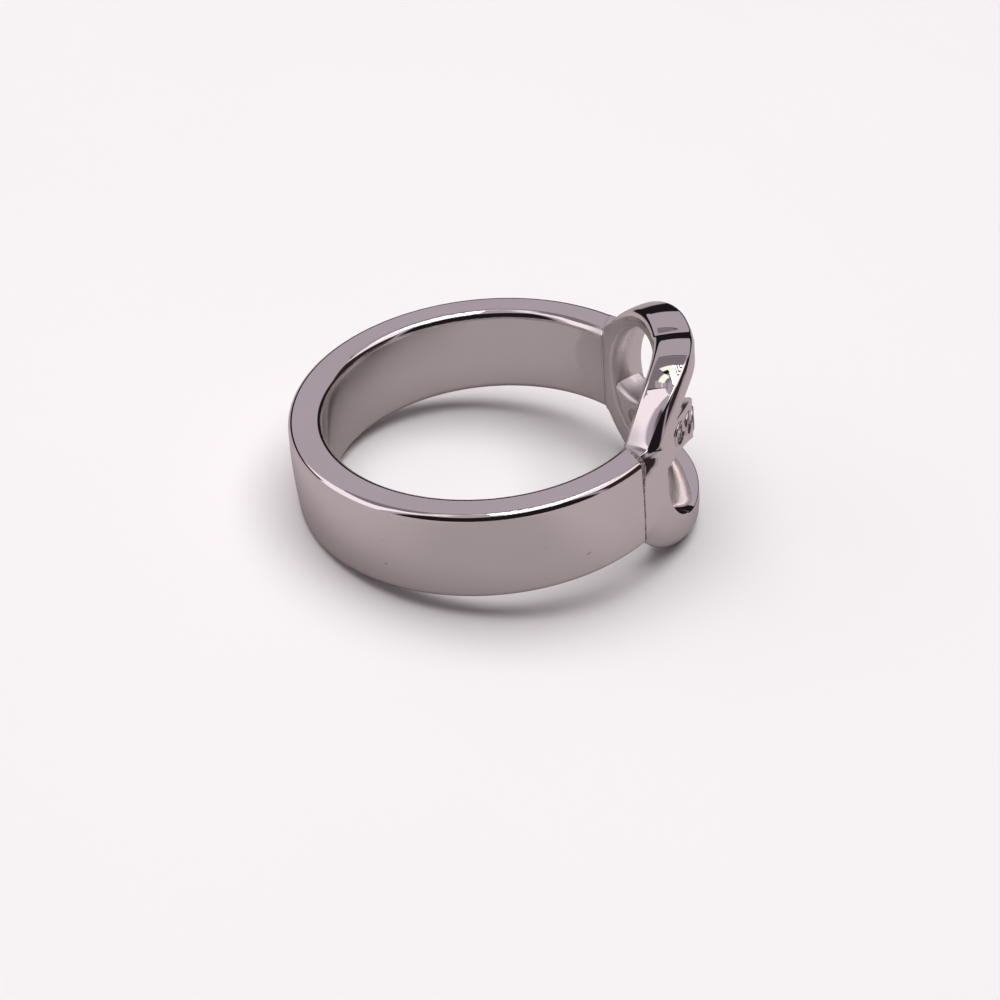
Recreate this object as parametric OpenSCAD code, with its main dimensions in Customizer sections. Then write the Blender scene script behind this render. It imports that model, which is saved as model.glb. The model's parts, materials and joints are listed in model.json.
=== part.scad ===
// Finger ring: a wide polished band with a soldered openwork head set with small clear stones.
// The finger axis is Z, the ring's centre is the origin, and the head faces +X.

/* [Band] */
// Radius of the finger bore
bore_r = 8.46; // [8.4:0.01:8.49]
// Wall of the band from bore to outer face at mid height
band_wall = 1.87; // [1.7:0.01:1.9]
// Height of the band along the finger
band_h = 5; // [4.8:0.05:5]
// Rounding of the band's two outer edges
outer_round = 0.37; // [0.1:0.01:0.45]
// Rounding of the band's two inner edges
inner_round = 0.45; // [0.3:0.01:0.5]
// Radius of the shallow dome across the band's outer face
dome_r = 32; // [25:1:60]

/* [Head] */
// Height of the head along the finger
head_h = 10.9; // [10.7:0.1:11.1]
// Distance from the finger axis to the head's outer face at its middle
head_r = 10.9; // [10.8:0.01:10.95]
// Distance from the finger axis to the head's inner face at its middle
head_bore_r = 8.77; // [8.77:0.01:8.85]
// Half angle of the wedge between the two ends of the band
joint_angle = 68.4; // [66:0.1:69]
// Distance from the finger axis to the tip of that wedge
joint_x = 4.53; // [4.5:0.01:4.6]
// Radius of each arc of the head's upper outline
outline_r = 7.1; // [7:0.05:7.3]
// Radius of each arc of the head's lower outline
lower_outline_r = 9.4; // [9.2:0.05:9.5]
// Distance of each outline arc's centre from the head's middle
outline_offset = 1.5; // [1.3:0.05:1.6]
// Rounding at the bottom of the valley between the two outline arcs
valley_round = 0.12; // [0.05:0.01:0.2]
// Rounding where the outline runs into the band's edges
collar_round = 0.12; // [0.05:0.01:0.2]
// Height of the strap above and below the opening
strap_w = 1.55; // [1.45:0.05:1.6]
// Distance of the opening's middle above the head's middle
opening_rise = 0.25; // [0:0.05:0.3]
// Length of the straight stretch of the opening on each side of the middle
opening_straight = 2.4; // [2.2:0.05:2.5]
// Outer edge chamfer of the straps and the wave bar
outer_chamfer = 0.1; // [0.05:0.01:0.15]
// Outer edge chamfer of the rim where it meets the band
shoulder_chamfer = 0.55; // [0.4:0.01:0.6]
// Inner edge chamfer of the straps and the wave bar
inner_chamfer = 0.3; // [0.1:0.05:0.4]
// Chamfer round the face that is soldered to the band
joint_chamfer = 0.02; // [0.01:0.01:0.04]
// Thickness of each solder seam between band and head
seam_w = 0.1; // [0.06:0.02:0.16]
// How far a solder seam stands proud of the band
seam_proud = 0.04; // [0.02:0.01:0.06]

/* [Wave bar] */
// Width of the wave bar
bar_w = 2.2; // [2:0.05:2.4]
// Rise of the wave above and below the head's middle
wave_rise = 1.9; // [1.7:0.05:2]
// Distance from the head's middle to the crest of the wave
wave_crest = 4.6; // [4.4:0.1:4.8]
// Distance of the wave bar's outer face below the straps' outer face
bar_recess = 0.2; // [0.1:0.05:0.3]

/* [Stones] */
// Number of stones along the wave bar
stone_count = 7; // [3:2:7]
// Distance between neighbouring stones along the head
stone_pitch = 1.46; // [1.44:0.01:1.5]
// Outer diameter of a collet at its rim
collet_d = 1.36; // [1.3:0.02:1.38]
// Girdle diameter of a stone
stone_d = 1.06; // [1:0.02:1.08]
// Height of a collet's rim above the wave bar's outer face
collet_proud = 0.1; // [0.06:0.01:0.14]
// Gap between a collet and its hole, filled by solder
collet_gap = 0.01; // [0.005:0.005:0.02]
// Distance from the finger axis to the point that the stones' axes fan out from
fan_x = 1.15; // [1:0.05:1.3]

/* [Hidden] */
$fn = 96;
silver = "#c9c2c6";
solder = "#b7b0b3";
clear = "#e8eef2";

half_head = head_h / 2;
edge_r = bore_r + band_wall - dome_r + sqrt(pow(dome_r, 2) - pow(band_h / 2, 2));
joint_r = bore_r + band_wall;
inner_r = bore_r + 0.01;
opening_r = half_head - strap_w;
bar_r = joint_r - bar_recess;
face_reach = head_r - fan_x;
back_reach = head_bore_r - fan_x;
collet_top = face_reach - bar_recess + collet_proud;
azure_share = 0.52;
seat_depth = 0.34;
ledge_depth = 0.16;
pavilion_h = 0.43 * stone_d;
crown_h = 0.15 * stone_d;
girdle_h = 0.04 * stone_d;
table_share = 0.57;
strap_steps = 24;
side_steps = 8;
bar_steps = 36;
solve_steps = 6;

function mix(a, b, t) = a + (b - a) * t;

// Arc length on the head's outer face and the angle it spans about the finger axis
function arc_length(angle) = head_r * angle * PI / 180;
function span_angle(s) = s / head_r * 180 / PI;

// Arc length at which the head meets the band, at radius r beside the joint
function end_s(r) = arc_length(joint_angle - asin(joint_x * sin(joint_angle) / r));

// Point at arc length s from the head's middle and height z. The radius r is the one that the point
// would have beside the joint: from there the head swells smoothly towards its middle.
function swell(share) = pow(1 - pow(share, 2), 2);
function on_head(s, z, r) =
    let (a = span_angle(s),
         rise = mix(head_bore_r - inner_r, head_r - joint_r, (r - inner_r) / (joint_r - inner_r)),
         swollen = r + rise * swell(s / end_s(r)))
    [swollen * cos(a), swollen * sin(a), z];

// Outline of the head: two arcs with a valley between them that run into the band's edge lines.
// The side k is above zero for the upper outline and below zero for the lower one.
function larger(a, b, round) = (a + b) / 2 + sqrt(pow((a - b) / 2, 2) + pow(round, 2));
function arcs_z(s, radius) =
    let (aside = sqrt(pow(s, 2) + pow(valley_round, 2)) - outline_offset)
    half_head - radius + sqrt(pow(radius, 2) - pow(aside, 2));
function outline_z(s, k) =
    larger(arcs_z(s, k > 0 ? outline_r : lower_outline_r), band_h / 2 - collar_round / 4, collar_round);
function rim_point(t, k, r) = let (s = t * end_s(r)) [s, k * outline_z(s, k)];

// The opening inside the outline, about its own middle: a straight stretch, then a half circle
function opening_s(z) = opening_straight + sqrt(pow(opening_r, 2) - pow(z - opening_rise, 2));
function opening_arc(a) = [opening_straight + opening_r * cos(a), opening_r * sin(a)];
function opening_point(d) = d < opening_straight
    ? [d, opening_r]
    : opening_arc(90 - (d - opening_straight) / opening_r * 180 / PI);

// Stations of a strap from its top joint, round the side and down to its bottom joint. Each has
// the share of the way to the band, the share of the outline's height and the opening's point.
corner_angle = atan2(band_h / 2, end_s(joint_r) - opening_straight);
corner_d = opening_straight + opening_r * (90 - corner_angle) * PI / 180;
top_stations = [for (i = [0:strap_steps]) let (t = i / strap_steps) [t, 1, opening_point(corner_d * t)]];
side_stations = [for (i = [1:side_steps - 1]) let (k = 1 - 2 * i / side_steps)
    [1, k, opening_arc(corner_angle * k)]];
bottom_stations = [for (i = [strap_steps:-1:0]) let (st = top_stations[i])
    [st[0], -1, [st[2][0], -st[2][1]]]];
strap_stations = concat(top_stations, side_stations, bottom_stations);

// Centre line of the wave bar, the height of its edge lines and where each one meets the opening
function wave_z(s) = -wave_rise * sin(90 * s / wave_crest);
function wave_slope(s) = -wave_rise * PI / 2 / wave_crest * cos(90 * s / wave_crest);
function edge_z(s, v) = wave_z(s) + v * bar_w / 2 * sqrt(1 + pow(wave_slope(s), 2));
function bar_end(side, v, n) = side * (n == 0 ? wave_crest : opening_s(edge_z(bar_end(side, v, n - 1), v)));

// Chamfered cross-section of a strap or bar: pairs of share across and radius
function section(width, top_r, outer, inner) =
    let (o = outer_chamfer / width, i = inner_chamfer / width)
    [[0, inner_r + inner], [0, top_r - outer], [outer / width, top_r], [0.5, top_r],
     [1 - o, top_r], [1, top_r - outer_chamfer], [1, inner_r + inner_chamfer],
     [1 - i, inner_r], [0.5, inner_r], [inner / width, inner_r]];

// Outer and inner chamfer on the outline side of a strap's station
function rim_chamfers(t, k) = abs(k) < 1
    ? [joint_chamfer, joint_chamfer]
    : [mix(outer_chamfer, shoulder_chamfer, pow(t, 3)), inner_chamfer];

strap_rings = [for (st = strap_stations)
    let (opening = st[2] + [0, opening_rise],
         width = norm(rim_point(st[0], st[1], joint_r) - opening),
         edge = rim_chamfers(st[0], st[1]))
    [for (p = section(width, joint_r, edge[0], edge[1]))
        let (q = mix(rim_point(st[0], st[1], p[1]), opening, p[0])) on_head(q[0], q[1], p[1])]];
bar_rings = [for (i = [0:bar_steps])
    [for (p = section(bar_w, bar_r, outer_chamfer, inner_chamfer))
        let (v = 1 - 2 * p[0],
             s = mix(bar_end(-1, v, solve_steps), bar_end(1, v, solve_steps), i / bar_steps))
        on_head(s, edge_z(s, v), p[1])]];

// Solid through a row of rings that each have the same number of points
module loft(rings) {
    n = len(rings[0]);
    last = (len(rings) - 1) * n;
    sides = [for (i = [0:len(rings) - 2], j = [0:n - 1])
        let (a = i * n + j, b = i * n + (j + 1) % n)
        each [[a, b, b + n], [a, b + n, a + n]]];
    caps = [for (j = [1:n - 2]) each [[0, j + 1, j], [last, last + j, last + j + 1]]];
    polyhedron(points = [for (ring = rings) each ring], faces = concat(sides, caps));
}

// Band cross-section: a rectangle with rounded corners and a shallow dome on the outer face
module band_section(proud = 0) {
    half = band_h / 2 + proud;
    outer = bore_r + band_wall + proud;
    inner_x = bore_r + inner_round;
    outer_x = edge_r + proud - outer_round;
    intersection() {
        union() {
            translate([bore_r, inner_round - half]) square([inner_round, 2 * (half - inner_round)]);
            translate([inner_x, -half]) square([outer_x - inner_x, 2 * half]);
            translate([outer_x, outer_round - half]) square([outer - outer_x, 2 * (half - outer_round)]);
            for (side = [-1, 1]) {
                translate([inner_x, side * (half - inner_round)]) circle(r = inner_round);
                translate([outer_x, side * (half - outer_round)]) circle(r = outer_round);
            }
        }
        translate([outer - dome_r, 0]) circle(r = dome_r, $fn = 360);
    }
}

// Slab of the plan between two wedge sides on one side of the head, near_x and far_x from the finger axis
module joint_strip(side, near_x, far_x) {
    reach = 2 * head_r;
    along = reach * [cos(joint_angle), side * sin(joint_angle)];
    linear_extrude(height = 2 * head_h, center = true)
        polygon([[near_x, 0], [far_x, 0], [far_x, 0] + along, [near_x, 0] + along]);
}

// Band that leaves room for the head and its solder between its ends
module shank() {
    color(silver) difference() {
        rotate_extrude($fn = 180) band_section();
        for (side = [-1, 1]) joint_strip(side, joint_x - seam_w / sin(joint_angle), 2 * head_r);
    }
}

// Solder between one end of the band and the head
module seam(side) {
    color(solder) intersection() {
        rotate_extrude($fn = 180) band_section(seam_proud);
        joint_strip(side, joint_x - seam_w / sin(joint_angle), joint_x);
    }
}

// C-shaped half of the head's rim, from the top joint round to the bottom joint
module strap(side) {
    color(silver) mirror([0, side > 0 ? 0 : 1, 0]) loft(strap_rings);
}

// Place of a stone along the wave bar: Z points out of the ring, and height face_reach is on the
// face that the straps have there
module at_stone(i) {
    s = (i - (stone_count + 1) / 2) * stone_pitch;
    face = on_head(s, wave_z(s), joint_r);
    aside = face - [fan_x, 0, face[2]];
    translate([fan_x, 0, face[2]]) rotate([0, 90, atan2(aside[1], aside[0])])
        translate([0, 0, norm(aside) - face_reach]) children();
}

// Cone with its tip at the origin and diameter d at the collet's rim
module fan_cone(d, low, high) {
    share = d / 2 / collet_top;
    translate([0, 0, low]) cylinder(r1 = low * share, r2 = high * share, h = high - low);
}

// S-shaped bar across the opening, bored for the collets
module wave_bar() {
    color(silver) difference() {
        loft(bar_rings);
        for (i = [1:stone_count])
            at_stone(i) fan_cone(collet_d + 2 * collet_gap, back_reach - 1, face_reach + 1);
    }
}

// Tapered collet: an open cone with a seat for the stone
module collet(i) {
    color(silver) at_stone(i) difference() {
        fan_cone(collet_d, back_reach + inner_chamfer, collet_top);
        fan_cone(collet_d * azure_share, back_reach, collet_top + 1);
        translate([0, 0, collet_top - seat_depth]) cylinder(d = stone_d, h = seat_depth + 1);
        translate([0, 0, collet_top - seat_depth - ledge_depth])
            cylinder(d1 = stone_d * 0.6, d2 = stone_d, h = ledge_depth);
    }
}

// Round brilliant: pavilion, girdle and crown
module stone(i) {
    girdle_z = collet_top - seat_depth + girdle_h;
    color(clear) at_stone(i) {
        translate([0, 0, girdle_z - pavilion_h]) cylinder(d1 = 0, d2 = stone_d, h = pavilion_h);
        translate([0, 0, girdle_z]) cylinder(d = stone_d, h = girdle_h);
        translate([0, 0, girdle_z + girdle_h])
            cylinder(d1 = stone_d, d2 = stone_d * table_share, h = crown_h);
    }
}

shank();
seam(-1);  // near_seam
seam(1);  // far_seam
strap(-1);  // near_strap
strap(1);  // far_strap
wave_bar();
for (i = [1:stone_count]) {
    collet(i);
    stone(i);
}
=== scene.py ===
import json
import math
import bmesh
import bpy
import numpy as np
from mathutils import Matrix, Vector, noise


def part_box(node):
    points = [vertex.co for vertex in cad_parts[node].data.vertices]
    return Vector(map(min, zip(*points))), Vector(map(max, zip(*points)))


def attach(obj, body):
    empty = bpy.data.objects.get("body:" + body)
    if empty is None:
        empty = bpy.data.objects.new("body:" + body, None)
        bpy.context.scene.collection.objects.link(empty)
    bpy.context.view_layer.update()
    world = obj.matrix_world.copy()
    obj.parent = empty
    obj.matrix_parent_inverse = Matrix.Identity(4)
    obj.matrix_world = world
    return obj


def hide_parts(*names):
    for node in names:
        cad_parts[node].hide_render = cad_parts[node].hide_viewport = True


# Looks of the silver finger ring: high-resolution metalwork, cut stones, polished materials and the studio.
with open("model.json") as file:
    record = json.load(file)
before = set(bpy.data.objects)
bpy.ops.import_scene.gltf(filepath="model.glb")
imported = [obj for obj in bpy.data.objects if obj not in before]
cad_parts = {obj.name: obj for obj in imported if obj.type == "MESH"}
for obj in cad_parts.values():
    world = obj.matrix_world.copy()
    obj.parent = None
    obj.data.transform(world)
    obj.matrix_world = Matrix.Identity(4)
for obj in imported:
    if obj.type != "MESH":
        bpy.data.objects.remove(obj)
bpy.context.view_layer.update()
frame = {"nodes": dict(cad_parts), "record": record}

# --- Sizes, in millimetres, from the frame --------------------------------------------------------
MM = 0.001
shank_low, shank_high = (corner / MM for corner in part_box("shank"))
strap_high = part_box("near_strap")[1] / MM
STONES = sum(name.startswith("stone_") for name in frame["nodes"])
BORE_R = frame["record"]["mounts"][0]["dims"]["r_mm"]
BAND_R = -shank_low.x
BAND_HALF = shank_high.z
HEAD_R = strap_high.x
HEAD_HALF = strap_high.z

# --- Sizes that the frame doesn't hold ------------------------------------------------------------
DOME_R = 32.0                     # dome across the band's outer face
OUTER_ROUND = 0.37                # long outer edges of the band
INNER_ROUND = 0.45                # long inner edges of the band
JOINT_ANGLE = math.radians(68.4)  # half angle of the wedge between the band's two ends
JOINT_X = 4.53                    # tip of that wedge, from the finger axis
SEAM_W = 0.1                      # thickness of a solder seam
BLOB_LOW, BLOB_RISE = 1.0, 0.9    # where the near seam's blob starts, and the height it grows over
BLOB_W = 0.12                     # how far the blob widens the seam each way
BEAD_PROUD = 0.012                # how far the near seam stands proud of the band
BEAD_LUMP = 0.03                  # unevenness of the seam
HEAD_BORE_R = 8.77                # head's inner face at its middle, from the finger axis
OUTLINE_R = 7.1                   # each arc of the head's upper outline
LOWER_OUTLINE_R = 9.4             # each arc of its lower outline
OUTLINE_OFFSET = 1.5              # its centre, from the head's middle
VALLEY_ROUND = 0.12               # bottom of the valley between the two arcs
COLLAR_ROUND = 0.12               # where the outline runs into the band's edge lines
STRAP_W = 1.55                    # strap above and below the opening
OPENING_RISE = 0.25               # opening's middle above the head's middle
OPENING_STRAIGHT = 2.4            # straight stretch of the opening each side of its middle
RIM_ROUND = 0.08                  # crisp outer edge of the rim
RIM_CROWN = 0.035                 # bulge across the rim
CREST_W, CREST_DEPTH = 0.28, 0.14      # bevel outside that edge at the head's top: width and depth
SHOULDER_W, SHOULDER_DEPTH = 1.5, 0.6  # and beside the near joint
SKIRT_W, SKIRT_DEPTH = 0.6, 0.3        # and along the head's bottom
OPENING_ROUND = 0.08              # outer edge of the opening
BACK_ROUND = 0.8                  # inner edge of the opening
BAR_W = 2.2                       # width of the wave bar
BAR_RECESS = 0.2                  # its outer face below the straps' outer face
BAR_OUTER_ROUND = 0.12            # its outer edges
BAR_INNER_ROUND = 0.33            # and its inner ones
WAVE_RISE = 1.9                   # crest of the wave above the head's middle
WAVE_CREST = 4.6                  # and from the head's middle along the head
COLLET_D = 1.36                   # collet at its rim
COLLET_PROUD = 0.04               # its rim above the wave bar
COLLET_LIP = 0.05                 # thickness of the rim that holds the stone
SEAT_DEPTH = 0.34                 # stone's girdle below the rim
AZURE_SHARE = 0.52                # open back of a collet, as a share of its width there
STONE_D = 1.06                    # stone at its girdle
STONE_PITCH = 1.46                # between neighbouring stones
TABLE, STAR, LOWER_GIRDLE = 0.57, 0.79, 0.26         # corners of a stone's facets, as shares of its radius
CROWN_H, GIRDLE_H, PAVILION_H = 0.15, 0.04, 0.43     # heights in a stone, as shares of its diameter
FAN_X = 1.15                      # point that the stones' axes fan out from, from the finger axis

INNER_R = BORE_R + 0.01
OPENING_R = HEAD_HALF - STRAP_W
BAR_R = BAND_R - BAR_RECESS
FACE_REACH = HEAD_R - FAN_X
BACK_REACH = HEAD_BORE_R - FAN_X
COLLET_TOP = FACE_REACH - BAR_RECESS + COLLET_PROUD


# --- Mesh helpers ---------------------------------------------------------------------------------
def arc(cx, cy, radius, start, end, steps):
    """Points of a circular arc, angles in degrees."""
    angles = np.radians(np.linspace(start, end, steps + 1))
    return [(cx + radius * math.cos(a), cy + radius * math.sin(a)) for a in angles]


def mesh_object(name, verts, faces, smooth_angle=40):
    """Object in metres from points in millimetres, with edges sharper than smooth_angle left crisp."""
    mesh = bpy.data.meshes.new(name)
    mesh.from_pydata([tuple(float(x) * MM for x in v) for v in verts], [], faces)
    made = bmesh.new()
    made.from_mesh(mesh)
    bmesh.ops.recalc_face_normals(made, faces=made.faces)
    made.to_mesh(mesh)
    made.free()
    mesh.polygons.foreach_set("use_smooth", [smooth_angle > 0] * len(mesh.polygons))
    if smooth_angle > 0:
        mesh.set_sharp_from_angle(angle=math.radians(smooth_angle))
    obj = bpy.data.objects.new(name, mesh)
    bpy.context.scene.collection.objects.link(obj)
    if smooth_angle > 0:
        shading = obj.modifiers.new("even_shading", "WEIGHTED_NORMAL")
        shading.keep_sharp = True
    return obj


def loft(name, rings, smooth_angle=40):
    """Closed solid through a row of closed rings with equal numbers of points, capped at both ends."""
    rows, count = len(rings), len(rings[0])
    faces = []
    for i in range(rows - 1):
        for j in range(count):
            a, b = i * count + j, i * count + (j + 1) % count
            faces.append((a, b, b + count, a + count))
    faces.append(tuple(range(count))[::-1])
    faces.append(tuple(range((rows - 1) * count, rows * count)))
    return mesh_object(name, [p for ring in rings for p in ring], faces, smooth_angle)


def lathe(name, profile, place, steps=64, smooth_angle=40):
    """Solid of revolution round the local Z axis of a closed (radius, height) outline, put at place."""
    count = len(profile)
    verts = []
    for i in range(steps):
        a = 2 * math.pi * i / steps
        verts += [place @ Vector((r * math.cos(a), r * math.sin(a), h)) for r, h in profile]
    faces = []
    for i in range(steps):
        for j in range(count):
            a, b = i * count + j, i * count + (j + 1) % count
            c, d = ((i + 1) % steps) * count + (j + 1) % count, ((i + 1) % steps) * count + j
            faces.append((a, b, c, d))
    return mesh_object(name, verts, faces, smooth_angle)


# --- Band -----------------------------------------------------------------------------------------
def band_profile(proud=0.0):
    """Closed (radius, height) outline of the band: plain bore, rounded edges and a shallow outer dome."""
    half, outer = BAND_HALF + proud, BAND_R + proud
    shoulder_z = half - OUTER_ROUND
    tilt = math.degrees(math.asin(shoulder_z / DOME_R))
    shoulder_r = outer - DOME_R * (1 - math.cos(math.radians(tilt))) - OUTER_ROUND
    top = arc(BORE_R + INNER_ROUND, half - INNER_ROUND, INNER_ROUND, 180, 90, 8)
    top += arc(shoulder_r, shoulder_z, OUTER_ROUND, 90, tilt, 10)
    dome = arc(outer - DOME_R, 0, DOME_R, tilt, -tilt, 16)[1:-1]
    bottom = [(r, -z) for r, z in reversed(top)]
    return top + dome + bottom


def joint_turn(radius, tip_x):
    """Angle at which a circle of that radius crosses a wedge side that starts at tip_x."""
    return JOINT_ANGLE - math.asin(tip_x * math.sin(JOINT_ANGLE) / radius)


BAND_TIP_X = JOINT_X - SEAM_W / math.sin(JOINT_ANGLE)


def make_shank():
    rings = []
    for share in np.linspace(0, 1, 361):
        ring = []
        for r, z in band_profile():
            start = joint_turn(r, BAND_TIP_X)
            angle = start + share * (2 * math.pi - 2 * start)
            ring.append((r * math.cos(angle), r * math.sin(angle), z))
        rings.append(ring)
    return loft("shank_metal", rings)


def make_seam(name, side):
    """Uneven solder bead, flush in the bore, proud outside and widest at the near top corner."""
    rings = []
    steps = 14
    blob_size = rough_size = 1.0 if side < 0 else 0.0
    for i in range(steps + 1):
        share = 2 * i / steps - 1
        ring = []
        for r, z in band_profile():
            outward = (r - BORE_R) / (BAND_R - BORE_R)
            blob = blob_size * outward * min(1.0, max(0.0, (z - BLOB_LOW) / BLOB_RISE))
            middle = (joint_turn(r, JOINT_X) + joint_turn(r, BAND_TIP_X)) / 2 - BLOB_W * blob / r
            lump = rough_size * noise.fractal(Vector((z * 4, r * 4, share + side * 7)), 0.7, 2.2, 4)
            half_width = SEAM_W / 2 + BLOB_W * blob + BEAD_LUMP * outward * lump
            bulge = BEAD_PROUD * rough_size + BEAD_LUMP * lump
            swell = outward * bulge * math.sqrt(max(0.0, 1 - share ** 2))
            away = Vector((r - (BORE_R + BAND_R) / 2, z)).normalized() * swell
            angle = side * middle + share * half_width / r
            ring.append(((r + away.x) * math.cos(angle), (r + away.x) * math.sin(angle), z + away.y))
        rings.append(ring)
    return loft(name, rings, 60)


# --- Head -----------------------------------------------------------------------------------------
def end_s(r):
    """Arc length at which the head meets the band, at radius r beside the joint."""
    return HEAD_R * joint_turn(r, JOINT_X)


def on_head(s, z, r):
    """Point at arc length s from the head's middle and height z, at the radius r that it would have beside
    the joint: from there the head swells smoothly towards its middle."""
    rise_in, rise_out = HEAD_BORE_R - INNER_R, HEAD_R - BAND_R
    rise = rise_in + (rise_out - rise_in) * (r - INNER_R) / (BAND_R - INNER_R)
    swollen = r + rise * (1 - (s / end_s(r)) ** 2) ** 2
    return (swollen * math.cos(s / HEAD_R), swollen * math.sin(s / HEAD_R), z)


def outline_z(s, k):
    """Height of the head's upper (k > 0) or lower outline: two arcs with a valley between them that run into
    the band's edge lines."""
    radius = OUTLINE_R if k > 0 else LOWER_OUTLINE_R
    aside = math.sqrt(s ** 2 + VALLEY_ROUND ** 2) - OUTLINE_OFFSET
    arcs = HEAD_HALF - radius + math.sqrt(radius ** 2 - aside ** 2)
    collar = BAND_HALF - COLLAR_ROUND / 4
    return (arcs + collar) / 2 + math.sqrt(((arcs - collar) / 2) ** 2 + COLLAR_ROUND ** 2)


def opening_arc(a):
    return Vector((OPENING_STRAIGHT + OPENING_R * math.cos(a), OPENING_R * math.sin(a)))


def opening_point(d):
    """Point of the opening at distance d along its edge from the top middle, about its own middle."""
    if d < OPENING_STRAIGHT:
        return Vector((d, OPENING_R))
    return opening_arc(math.pi / 2 - (d - OPENING_STRAIGHT) / OPENING_R)


def strap_stations():
    """Stations from the top joint round the side to the bottom joint: share of the way to the band, share of
    the outline's height and the opening's point."""
    corner = math.atan2(BAND_HALF, end_s(BAND_R) - OPENING_STRAIGHT)
    corner_d = OPENING_STRAIGHT + OPENING_R * (math.pi / 2 - corner)
    top = [(t, 1, opening_point(corner_d * t)) for t in np.linspace(0, 1, 121)]
    side = [(1, k, opening_arc(corner * k)) for k in np.cos(np.linspace(0, math.pi, 49))[1:-1]]
    bottom = [(t, -1, Vector((p.x, -p.y))) for t, k, p in reversed(top)]
    return top + side + bottom


def face_drop(s, z):
    """How far the head's outer face lies below its plain curve: the band's dome, which fades out towards the
    middle, and a soft bevel along the outline, which widens at the top beside the near joint."""
    beside = abs(s) / end_s(BAND_R)
    near = beside if s < 0 else 0.0
    if z > 0:
        width = CREST_W + (SHOULDER_W - CREST_W) * near ** 6
        depth = CREST_DEPTH + (SHOULDER_DEPTH - CREST_DEPTH) * near ** 4
    else:
        width, depth = SKIRT_W, SKIRT_DEPTH
    step = 0.01
    slope = (outline_z(abs(s) + step, z) - outline_z(abs(s) - step, z)) / (2 * step)
    inside = max(0.0, outline_z(s, z) - abs(z)) / math.sqrt(1 + slope ** 2)
    return z ** 2 / 2 / DOME_R * beside ** 2 + depth * max(0.0, 1 - inside / width) ** 1.2


def rim_rounds(k):
    """Outer and inner rounding on the outline side of a strap station; at the joint they fade out."""
    rounds = []
    for radius in (RIM_ROUND, INNER_ROUND):
        over = max(0.0, (abs(k) - 1) * BAND_HALF + radius)
        rounds.append(radius if abs(k) == 1 else max(0.004, radius - math.sqrt(radius ** 2 - over ** 2)))
    return rounds


def rounded_section(width, low_r, high_r, rim, opening, crown=0.0):
    """Closed outline of (distance across, radius) with outer and inner corner rounds on the rim and opening
    sides, and a crowned rim."""
    outer, inner = rim
    points = arc(outer, high_r - outer, outer, 180, 90, 10)
    points += [(outer + (width - outer) * t, high_r) for t in (0.25, 0.5, 0.75)]
    outer, inner = opening
    points += arc(width - outer, high_r - outer, outer, 90, 0, 5)
    points += [(width, high_r - outer + (low_r + inner - high_r + outer) * t) for t in (0.25, 0.5, 0.75)]
    points += arc(width - inner, low_r + inner, inner, 0, -90, 8)
    outer, inner = rim
    points += [(inner + (width - inner) * t, low_r) for t in (0.6, 0.5, 0.25)]
    points += arc(inner, low_r + inner, inner, -90, -180, 8)
    points += [(-4 * crown * t * (1 - t), low_r + inner + (high_r - outer - low_r - inner) * t)
               for t in np.linspace(0, 1, 13)[1:-1]]
    return points


def rim_height(t, k, r):
    """Height of the outline at radius r of a strap station. The lower outline evens out towards the joint, so
    that the head's inner end has no step beside the band."""
    height = outline_z(t * end_s(r), k)
    if k < 0:
        height += (outline_z(t * end_s(BAND_R), k) - height) * t ** 4
    return k * height


def make_strap(name, side):
    rings = []
    for t, k, opening in strap_stations():
        hole = opening + Vector((0, OPENING_RISE))
        reach = end_s(BAND_R) * t
        width = (Vector((reach, k * outline_z(reach, k))) - hole).length
        ring = []
        crown = RIM_CROWN * (1 - t ** 8)
        hole_rounds = (OPENING_ROUND, BACK_ROUND)
        for across, r in rounded_section(width, INNER_R, BAND_R, rim_rounds(k), hole_rounds, crown):
            s = t * end_s(r)
            p = Vector((s, rim_height(t, k, r))).lerp(hole, across / width)
            outward = (r - INNER_R) / (BAND_R - INNER_R)
            ring.append(on_head(side * p.x, p.y, r - outward * face_drop(side * p.x, p.y)))
        rings.append(ring)
    return loft(name, rings)


def wave_z(s):
    return -WAVE_RISE * math.sin(math.pi / 2 * s / WAVE_CREST)


def wave_slope(s):
    return -WAVE_RISE * math.pi / 2 / WAVE_CREST * math.cos(math.pi / 2 * s / WAVE_CREST)


def bar_edge_z(s, v):
    """Height of the wave bar's line at share v from its centre line, -1 to 1."""
    return wave_z(s) + v * BAR_W / 2 * math.sqrt(1 + wave_slope(s) ** 2)


def bar_end(side, v):
    """Arc length at which line v of the wave bar meets the opening on one side."""
    s = side * WAVE_CREST
    for _ in range(12):
        s = side * (OPENING_STRAIGHT + math.sqrt(OPENING_R ** 2 - (bar_edge_z(s, v) - OPENING_RISE) ** 2))
    return s


def stone_place(index):
    """Local frame of a stone: Z points out of the ring, and FACE_REACH is the straps' outer face there."""
    s = (index - (STONES + 1) / 2) * STONE_PITCH
    x, y, z = on_head(s, wave_z(s), BAND_R)
    aside = Vector((x - FAN_X, y))
    place = Matrix.Translation((FAN_X, 0, z)) @ Matrix.Rotation(math.atan2(aside.y, aside.x), 4, "Z")
    place = place @ Matrix.Rotation(math.pi / 2, 4, "Y")
    return place @ Matrix.Translation((0, 0, aside.length - FACE_REACH))


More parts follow.
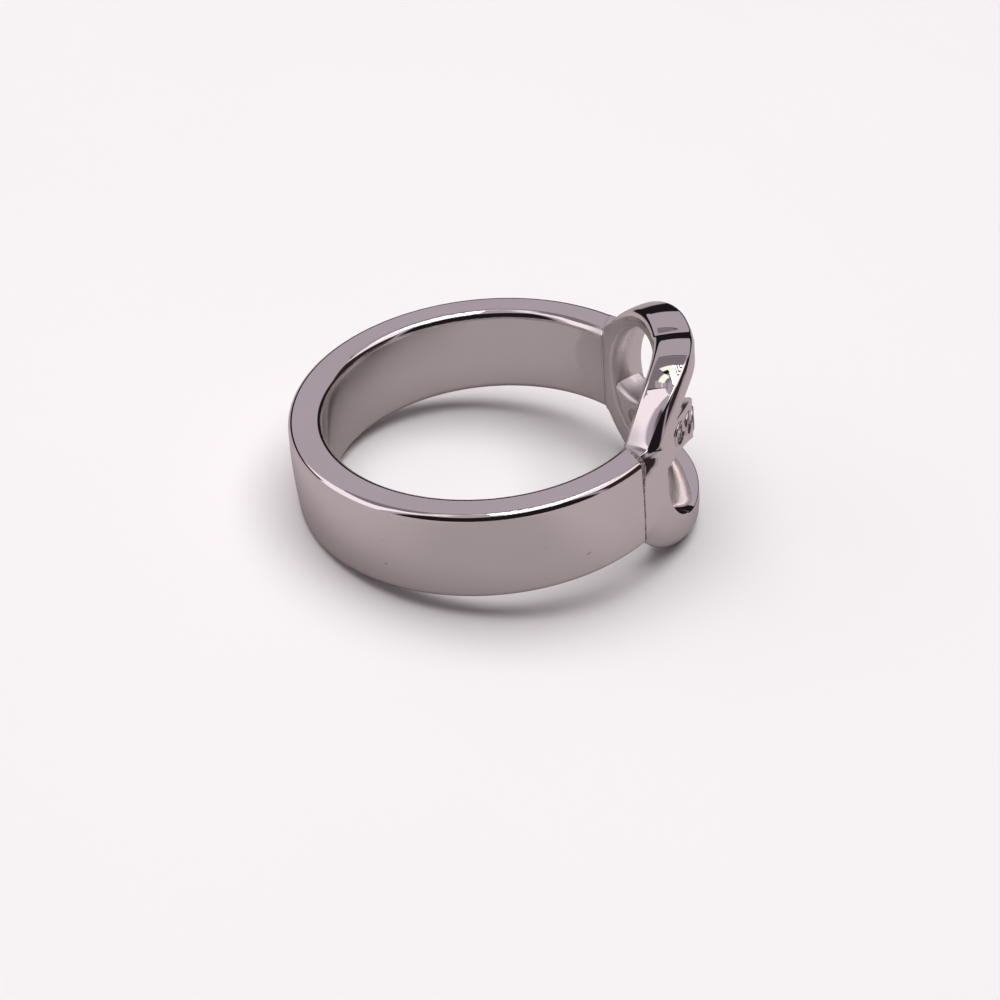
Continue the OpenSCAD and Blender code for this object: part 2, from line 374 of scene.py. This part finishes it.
def make_wave_bar():
    edges = (BAR_OUTER_ROUND, BAR_INNER_ROUND)
    rings = []
    for t in np.linspace(0, 1, 161):
        ring = []
        for across, r in rounded_section(BAR_W, INNER_R, BAR_R, edges, edges):
            v = 1 - 2 * across / BAR_W
            s = bar_end(-1, v) + t * (bar_end(1, v) - bar_end(-1, v))
            ring.append(on_head(s, bar_edge_z(s, v), r))
        rings.append(ring)
    bar = loft("wave_bar_metal", rings)
    for index in range(1, STONES + 1):
        low, high = BACK_REACH - 1, FACE_REACH + 1
        share = (COLLET_D / 2 - 0.01) / COLLET_TOP
        cutter = lathe("cutter", [(0.0001, low), (low * share, low), (high * share, high), (0.0001, high)],
                       stone_place(index))
        cut = bar.modifiers.new("hole", "BOOLEAN")
        cut.operation = "DIFFERENCE"
        cut.solver = "EXACT"
        cut.object = cutter
        apply_modifiers(bar)
        bpy.data.objects.remove(cutter)
    bar.data.polygons.foreach_set("use_smooth", [True] * len(bar.data.polygons))
    bar.data.set_sharp_from_angle(angle=math.radians(40))
    return bar


def apply_modifiers(obj):
    depsgraph = bpy.context.evaluated_depsgraph_get()
    mesh = bpy.data.meshes.new_from_object(obj.evaluated_get(depsgraph))
    obj.modifiers.clear()
    obj.data = mesh


def make_collet(index):
    """Tapered open collet with a rounded lip bent over the stone's girdle."""
    share = COLLET_D / 2 / COLLET_TOP
    low = BACK_REACH + 0.3
    lip = COLLET_LIP
    seat_r = STONE_D / 2
    hole = AZURE_SHARE
    outside = [(low * share, low), (COLLET_TOP * share, COLLET_TOP - 2 * lip)]
    rim = arc(COLLET_TOP * share - lip * 1.6, COLLET_TOP - lip * 1.6, lip * 1.6, 0, 100, 6)
    inside = [(seat_r - 0.03, COLLET_TOP - 0.1), (seat_r, COLLET_TOP - 0.26),
              (seat_r, COLLET_TOP - SEAT_DEPTH), (seat_r * 0.66, COLLET_TOP - 0.52),
              (low * share * hole * 1.15, low + 0.4), (low * share * hole * 1.3, low)]
    return lathe(f"collet_metal_{index}", outside + rim + inside, stone_place(index))


def make_stone(index):
    """Round brilliant cut: table, star, kite, upper and lower girdle and pavilion facets."""
    radius = STONE_D / 2
    crown_h, girdle_h, pavilion_h = CROWN_H * STONE_D, GIRDLE_H * STONE_D, PAVILION_H * STONE_D
    girdle_z = COLLET_TOP - SEAT_DEPTH + girdle_h
    half_turn = math.cos(math.pi / 8)
    star_z = girdle_z + girdle_h + crown_h * (1 - STAR * half_turn) / (1 - TABLE)
    lower_z = girdle_z - pavilion_h * (1 - LOWER_GIRDLE * half_turn)
    rows = [(TABLE, girdle_z + girdle_h + crown_h, 8, 0.0), (STAR, star_z, 8, 0.5),
            (1.0, girdle_z + girdle_h, 16, 0.0), (1.0, girdle_z, 16, 0.0), (LOWER_GIRDLE, lower_z, 8, 0.5)]
    place = stone_place(index)
    verts = []
    for share, z, count, shift in rows:
        for i in range(count):
            a = 2 * math.pi * (i + shift) / count
            verts.append(place @ Vector((radius * share * math.cos(a), radius * share * math.sin(a), z)))
    verts.append(place @ Vector((0, 0, girdle_z - pavilion_h)))
    t, s, g, b, low, tip = 0, 8, 16, 32, 48, 56
    faces = [tuple(range(8))]
    for i in range(8):
        n = (i + 1) % 8
        previous = (i - 1) % 8
        g0, g1, g2 = 2 * i, 2 * i + 1, (2 * i + 2) % 16
        faces.append((t + i, s + i, t + n))
        faces.append((t + i, s + previous, g + g0, s + i))
        faces.append((s + i, g + g0, g + g1))
        faces.append((s + i, g + g1, g + g2))
        faces.append((g + g0, b + g0, b + g1, g + g1))
        faces.append((g + g1, b + g1, b + g2, g + g2))
        faces.append((low + i, b + g1, b + g0))
        faces.append((low + i, b + g2, b + g1))
        faces.append((tip, low + i, b + g0, low + previous))
    return mesh_object(f"stone_cut_{index}", verts, faces, 0)


# --- Materials ------------------------------------------------------------------------------------
class Nodes:
    """Short-hand for building a node tree."""

    def __init__(self, tree):
        self.tree = tree
        tree.nodes.clear()

    def new(self, kind, inputs=(), **settings):
        node = self.tree.nodes.new(kind)
        for key, value in settings.items():
            setattr(node, key, value)
        for socket, value in dict(inputs).items():
            if isinstance(value, bpy.types.NodeSocket):
                self.tree.links.new(value, node.inputs[socket])
            else:
                node.inputs[socket].default_value = value
        return node

    def math(self, operation, a, b=0.0):
        return self.new("ShaderNodeMath", {0: a, 1: b}, operation=operation).outputs[0]

    def ramp(self, value, low, high, out_low=0.0, out_high=1.0):
        """Smooth step of value between low and high."""
        inputs = {"Value": value, "From Min": low, "From Max": high, "To Min": out_low, "To Max": out_high}
        return self.new("ShaderNodeMapRange", inputs, interpolation_type="SMOOTHSTEP").outputs[0]

    def mix(self, share, a, b):
        node = self.new("ShaderNodeMix", {0: share, 6: a, 7: b}, data_type="RGBA")
        return node.outputs[2]

    def noise(self, vector, scale, detail=3.0, roughness=0.5):
        inputs = {"Vector": vector, "Scale": scale, "Detail": detail, "Roughness": roughness}
        return self.new("ShaderNodeTexNoise", inputs).outputs["Fac"]


def material(name):
    made = bpy.data.materials.new(name)
    made.use_nodes = True
    return made, Nodes(made.node_tree)


def ring_radius(n, position):
    """Distance from the finger axis."""
    flat = n.new("ShaderNodeVectorMath", {0: position, 1: (1, 1, 0)}, operation="MULTIPLY").outputs[0]
    return n.new("ShaderNodeVectorMath", {0: flat}, operation="LENGTH").outputs["Value"]


def ring_coordinates(n, along, across):
    """Vector that runs round the ring, stretched so that a noise on it becomes fine lines round the band."""
    position = n.new("ShaderNodeTexCoord").outputs["Object"]
    split = n.new("ShaderNodeSeparateXYZ", {0: position}).outputs
    x = n.math("MULTIPLY", n.math("ARCTAN2", split[1], split[0]), along)
    y = n.math("MULTIPLY", ring_radius(n, position), across)
    z = n.math("MULTIPLY", split[2], across)
    return n.new("ShaderNodeCombineXYZ", {0: x, 1: y, 2: z}).outputs[0]


def openwork_mask(n, position, grow):
    """Soft oval mask of the head's opening, grown by grow millimetres."""
    middle = (0, 0, OPENING_RISE * MM)
    away = n.new("ShaderNodeVectorMath", {0: position, 1: middle}, operation="SUBTRACT").outputs[0]
    half_y = HEAD_R * math.sin((OPENING_STRAIGHT + OPENING_R) / HEAD_R)
    scale = (0, 1 / ((half_y + grow) * MM), 1 / ((OPENING_R + grow) * MM))
    oval = n.new("ShaderNodeVectorMath", {0: away, 1: scale}, operation="MULTIPLY").outputs[0]
    distance = n.new("ShaderNodeVectorMath", {0: oval}, operation="LENGTH").outputs["Value"]
    forward = n.ramp(n.new("ShaderNodeSeparateXYZ", {0: position}).outputs[0], 0.0, 2 * MM)
    return n.math("MULTIPLY", forward, n.ramp(distance, 0.95, 1.05, 1.0, 0.0))


def polished_silver():
    """Mirror polish with faint waviness, fine polishing lines round the ring and a few small nicks; the
    bore, the wave bar and the back of the openwork, where a polishing wheel hardly reaches, are softer."""
    made, n = material("polished_silver")
    position = n.new("ShaderNodeTexCoord").outputs["Object"]
    cloud = n.noise(position, 260.0, 2.0)
    haze = n.noise(position, 1400.0, 4.0)
    lines = n.noise(ring_coordinates(n, 6.0, 9000.0), 1.0, 2.0)
    nicks = n.ramp(n.noise(ring_coordinates(n, 16.0, 2600.0), 1.0, 1.0), 0.79, 0.84)
    colour = n.mix(n.ramp(cloud, 0.3, 0.7), (0.915, 0.88, 0.86, 1), (0.945, 0.91, 0.89, 1))
    colour = n.mix(nicks, colour, (0.6, 0.56, 0.54, 1))
    radius = ring_radius(n, position)
    deep = n.ramp(radius, 9.3 * MM, 9.9 * MM, 1.0, 0.0)
    back = n.math("MULTIPLY", openwork_mask(n, position, BACK_ROUND), deep)
    front = openwork_mask(n, position, -0.3)
    bore = n.ramp(radius, (BORE_R + 0.03) * MM, (BORE_R + 0.12) * MM, 0.1, 0.0)
    satin = n.math("MAXIMUM", n.math("MULTIPLY", back, 0.38), n.math("MULTIPLY", front, 0.2))
    roughness = n.math("ADD", n.ramp(haze, 0.3, 0.7, 0.006, 0.04), n.math("MAXIMUM", bore, satin))
    waves = n.new("ShaderNodeBump", {"Strength": 0.3, "Distance": 0.00003, "Height": cloud}).outputs[0]
    grooves = {"Strength": 0.03, "Distance": 0.000004, "Height": lines, "Normal": waves}
    fine = n.new("ShaderNodeBump", grooves).outputs[0]
    pits = {"Strength": 0.3, "Distance": 0.00002, "Height": nicks, "Normal": fine}
    dents = n.new("ShaderNodeBump", pits, invert=True).outputs[0]
    shader = n.new("ShaderNodeBsdfPrincipled", {"Base Color": colour, "Metallic": 1.0, "Roughness": roughness,
                                                "Normal": dents})
    n.new("ShaderNodeOutputMaterial", {0: shader.outputs[0]})
    return made


def rough_solder():
    """Grainy solder outside at the near joint; in the bore and at the far joint it is polished."""
    made, n = material("rough_solder")
    position = n.new("ShaderNodeTexCoord").outputs["Object"]
    outside = n.ramp(ring_radius(n, position), (BORE_R + 0.4) * MM, (BORE_R + 0.9) * MM)
    near = n.ramp(n.new("ShaderNodeSeparateXYZ", {0: position}).outputs[1], -MM, MM, 1.0, 0.0)
    outside = n.math("MULTIPLY", outside, near)
    grain = n.noise(position, 7000.0, 5.0, 0.7)
    dark = n.math("MULTIPLY", outside, n.ramp(grain, 0.62, 0.4))
    colour = n.mix(dark, (0.87, 0.83, 0.81, 1), (0.22, 0.19, 0.18, 1))
    roughness = n.ramp(outside, 0.0, 1.0, 0.1, 0.4)
    bump = n.new("ShaderNodeBump", {"Strength": outside, "Distance": 0.0001, "Height": grain}).outputs[0]
    shader = n.new("ShaderNodeBsdfPrincipled", {"Base Color": colour, "Metallic": 1.0, "Roughness": roughness,
                                                "Normal": bump})
    n.new("ShaderNodeOutputMaterial", {0: shader.outputs[0]})
    return made


def clear_stone():
    made, n = material("clear_stone")
    position = n.new("ShaderNodeTexCoord").outputs["Object"]
    cloud = n.noise(position, 1800.0, 2.0)
    colour = n.mix(cloud, (0.93, 0.93, 0.95, 1), (1.0, 0.99, 1.0, 1))
    roughness = n.ramp(cloud, 0.3, 0.7, 0.0, 0.02)
    shader = n.new("ShaderNodeBsdfPrincipled", {"Base Color": colour, "Roughness": roughness, "IOR": 2.15,
                                                "Transmission Weight": 1.0})
    n.new("ShaderNodeOutputMaterial", {0: shader.outputs[0]})
    return made


def pale_floor():
    """Pale paper that shows darker and warmer in the metal, as the tent's real floor does; in the metal it
    also shows darker where |x| is under 5 mm, fading out by 14 mm, which is a painted shadow of the ring.
    """
    made, n = material("pale_floor")
    position = n.new("ShaderNodeTexCoord").outputs["Object"]
    paper = n.noise(position, 40.0, 3.0)
    colour = n.mix(paper, (0.82, 0.812, 0.815, 1), (0.84, 0.832, 0.835, 1))
    shine = n.new("ShaderNodeLightPath").outputs["Is Glossy Ray"]
    aside = n.math("ABSOLUTE", n.new("ShaderNodeSeparateXYZ", {0: position}).outputs[0])
    # painted shadow: in reflections the floor is darker within 5 mm of the ring's middle across X, fading out
    # by 14 mm
    reflected_with_painted_shadow = n.mix(n.ramp(aside, 5 * MM, 14 * MM), (0.318, 0.286, 0.297, 1), (0.39, 0.345, 0.36, 1))
    colour = n.mix(shine, colour, reflected_with_painted_shadow)
    shader = n.new("ShaderNodeBsdfPrincipled",
                   {"Base Color": colour, "Roughness": 0.9, "Specular IOR Level": 0.1})
    n.new("ShaderNodeOutputMaterial", {0: shader.outputs[0]})
    return made


# --- Camera, floor and light ----------------------------------------------------------------------
VIEW_ELEVATION = math.radians(36.10)
VIEW_TURN = math.radians(0.6)     # round the finger axis, away from straight along +Y
VIEW_ROLL = math.radians(5.55)
VIEW_DISTANCE = 118.3             # from the camera to the middle of the picture
VIEW_ASIDE = 0.275                # picture's middle to the right of the ring's
VIEW_DOWN = 3.255                 # and below it
LENS = 81.4                       # focal length
FLOOR_HALF = 4000.0               # half the floor's side
FLOOR_GAP = 0.01                  # hair of room below the ring
CONTACT_STEPS = 8                 # rounds of looking for the two places that touch the floor
CEILING = 220                     # height of the lamps
LAMP_COUNT = 13
LAMP_FIRST_X, LAMP_PITCH = 12, 7.3


def make_camera():
    level = Vector((math.cos(VIEW_TURN), -math.sin(VIEW_TURN), 0))
    toward = Vector((-math.sin(VIEW_TURN), -math.cos(VIEW_TURN), 0))
    back = toward * math.cos(VIEW_ELEVATION) + Vector((0, 0, math.sin(VIEW_ELEVATION)))
    upright = back.cross(level)
    right = level * math.cos(VIEW_ROLL) - upright * math.sin(VIEW_ROLL)
    up = level * math.sin(VIEW_ROLL) + upright * math.cos(VIEW_ROLL)
    spot = back * VIEW_DISTANCE + level * VIEW_ASIDE - upright * VIEW_DOWN
    data = bpy.data.cameras.new("camera")
    data.lens = LENS
    data.clip_start, data.clip_end = 0.005, 10
    camera = bpy.data.objects.new("camera", data)
    turned = Matrix((right, up, back)).transposed().to_4x4()
    camera.matrix_world = Matrix.Translation(spot * MM) @ turned
    bpy.context.scene.collection.objects.link(camera)
    bpy.context.scene.camera = camera


def make_floor(pieces):
    """Pale floor that the ring rests on: the plane that touches the head and the band's back from below."""
    points = np.array([vert.co for piece in pieces for vert in piece.data.vertices]) / MM
    front, back = points[points[:, 0] > 0], points[points[:, 0] < 0]
    slope = 0.0
    for _ in range(CONTACT_STEPS):
        head = front[np.argmin(front[:, 2] + slope * front[:, 0])]
        band = back[np.argmin(back[:, 2] + slope * back[:, 0])]
        slope = (band[2] - head[2]) / (head[0] - band[0])
    half = FLOOR_HALF
    corners = [(-half, -half), (half, -half), (half, half), (-half, half)]
    verts = [(x, y, band[2] - FLOOR_GAP - (x - band[0]) * slope) for x, y in corners]
    floor = mesh_object("floor", verts, [(0, 1, 2, 3)], 0)
    floor.data.materials.append(pale_floor())


def wall_patch(n, direction, flat, azimuth, half_width, low, high, soft):
    """Mask of the studio wall within half_width of azimuth and between two elevations, all in degrees."""
    a = math.radians(azimuth)
    middle = (math.cos(a), math.sin(a), 0)
    toward = n.new("ShaderNodeVectorMath", {0: flat, 1: middle}, operation="DOT_PRODUCT").outputs[1]
    near, far = math.cos(math.radians(half_width + soft)), math.cos(math.radians(max(0, half_width - soft)))
    height = n.new("ShaderNodeSeparateXYZ", {0: direction}).outputs[2]
    side = n.ramp(toward, near, far)
    bottom = n.ramp(height, math.sin(math.radians(low - soft)), math.sin(math.radians(low + soft)))
    top = n.ramp(height, math.sin(math.radians(high - soft)), math.sin(math.radians(high + soft)), 1.0, 0.0)
    return n.math("MULTIPLY", side, n.math("MULTIPLY", bottom, top))


def make_world():
    """Photo tent: pale mauve walls, a dark open front and low back, bright panels and dark rods."""
    world = bpy.data.worlds.new("studio")
    world.use_nodes = True
    n = Nodes(world.node_tree)
    direction = n.new("ShaderNodeTexCoord").outputs["Generated"]
    flat = n.new("ShaderNodeVectorMath", {0: direction, 1: (1, 1, 0)}, operation="MULTIPLY").outputs[0]
    flat = n.new("ShaderNodeVectorMath", {0: flat}, operation="NORMALIZE").outputs[0]
    colour = (0.407, 0.353, 0.402, 1)
    dark = (0.012, 0.009, 0.011, 1)
    bright = (0.97, 0.865, 0.93, 1)
    patches = [
        # azimuth, half width, low, high, soft, colour
        (175, 31, 6, 66, 2, bright),
        (125, 55, 51, 80, 1.5, (0.2, 0.17, 0.19, 1)),
        (160, 12, 69, 79, 1, (0.42, 0.36, 0.4, 1)),
        (140, 32, 74.6, 75.4, 0.4, bright),
        (100, 14, 64, 72, 0.7, (1.05, 1.07, 0.9, 1)),
        (132, 18, 71.5, 77, 0.7, (1.05, 1.07, 0.9, 1)),
        (109, 7, 68.5, 72.5, 0.5, dark),
        (172, 1.5, 56, 78, 0.5, dark),
        (190, 17, 60, 78, 1, bright),
        (90, 85, 50, 51, 0.4, (0.1, 0.08, 0.09, 1)),
        (-90, 55, -8, 62, 3, dark),
        (90, 75, -10, 21.5, 1, dark),
        (0, 30, -5, 42, 3, (0.03, 0.016, 0.018, 1)),
        (5, 28, 44, 64, 2, bright),
    ]
    for azimuth, half_width, low, high, soft, tone in patches:
        mask = wall_patch(n, direction, flat, azimuth, half_width, low, high, soft)
        colour = n.mix(mask, colour, tone)
    studio = n.new("ShaderNodeBackground", {0: colour, 1: 1.0}).outputs[0]
    plain = n.new("ShaderNodeBackground", {0: (0.92, 0.91, 0.92, 1), 1: 1.0}).outputs[0]
    seen = n.new("ShaderNodeLightPath").outputs["Is Camera Ray"]
    both = n.new("ShaderNodeMixShader", {0: seen, 1: studio, 2: plain}).outputs[0]
    n.new("ShaderNodeOutputWorld", {0: both})
    bpy.context.scene.world = world


def area_light(name, spot, aim, width, power, colour, length):
    """Rectangular lamp whose length runs from front to back."""
    data = bpy.data.lights.new(name, "AREA")
    data.shape = "RECTANGLE"
    data.size = width * MM
    data.size_y = length * MM
    data.energy = power
    data.color = colour
    light = bpy.data.objects.new(name, data)
    back = (Vector(spot) - Vector(aim)).normalized()
    across = Vector((0, 1, 0)).cross(back).normalized()
    turned = Matrix((across, back.cross(across), back)).transposed().to_4x4()
    light.matrix_world = Matrix.Translation(Vector(spot) * MM) @ turned
    bpy.context.scene.collection.objects.link(light)
    return light


def make_lights():
    """Ceiling of thin lamps that run from front to back, with a broad panel and a warmer spot at its end;
    they only show in the polished metal, and a soft lamp that doesn't show there lights the floor."""
    end_colour, spot_colour, lamp_colour = (1.0, 0.99, 1.0), (1.0, 1.0, 0.6), (1.0, 0.99, 0.98)
    lamps = [
        area_light("panel_end", (2, 10, CEILING), (2, 10, 0), 16, 0.014, end_colour, 110),
        area_light("panel_spot", (13, -60, CEILING - 1), (0, 0, 0), 18, 0.0016, spot_colour, 18),
    ]
    for i in range(LAMP_COUNT):
        x = LAMP_FIRST_X + i * LAMP_PITCH
        lamps.append(area_light(f"lamp_{i}", (x, 0, CEILING), (x, 0, 0), 3.2, 0.0044, lamp_colour, 200))
    for lamp in lamps:
        lamp.visible_diffuse = False
    floor_lamp = area_light("floor_lamp", (60, 20, 400), (0, 0, 0), 500, 1.95, (1.0, 0.99, 0.985), 450)
    floor_lamp.visible_glossy = False


# --- Put together ---------------------------------------------------------------------------------
make_camera()
make_world()
make_lights()

silver, solder, stone_finish = polished_silver(), rough_solder(), clear_stone()
pieces = [
    (make_shank(), "shank", silver, "silver"),
    (make_seam("near_seam_bead", -1), "near_seam", solder, "solder"),
    (make_seam("far_seam_bead", 1), "far_seam", solder, "solder"),
    (make_strap("near_strap_metal", -1), "near_strap", silver, "silver"),
    (make_strap("far_strap_metal", 1), "far_strap", silver, "silver"),
    (make_wave_bar(), "wave_bar", silver, "silver"),
]
for index in range(1, STONES + 1):
    pieces.append((make_collet(index), f"collet_{index}", silver, "silver"))
    pieces.append((make_stone(index), f"stone_{index}", stone_finish, "stones"))
for piece, node, finish, slot in pieces:
    piece.data.materials.clear()
    piece.data.materials.append(finish)
    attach(piece, "root")
    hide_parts(node)
make_floor([piece for piece, node, finish, slot in pieces])

bpy.context.scene.view_settings.view_transform = "Standard"
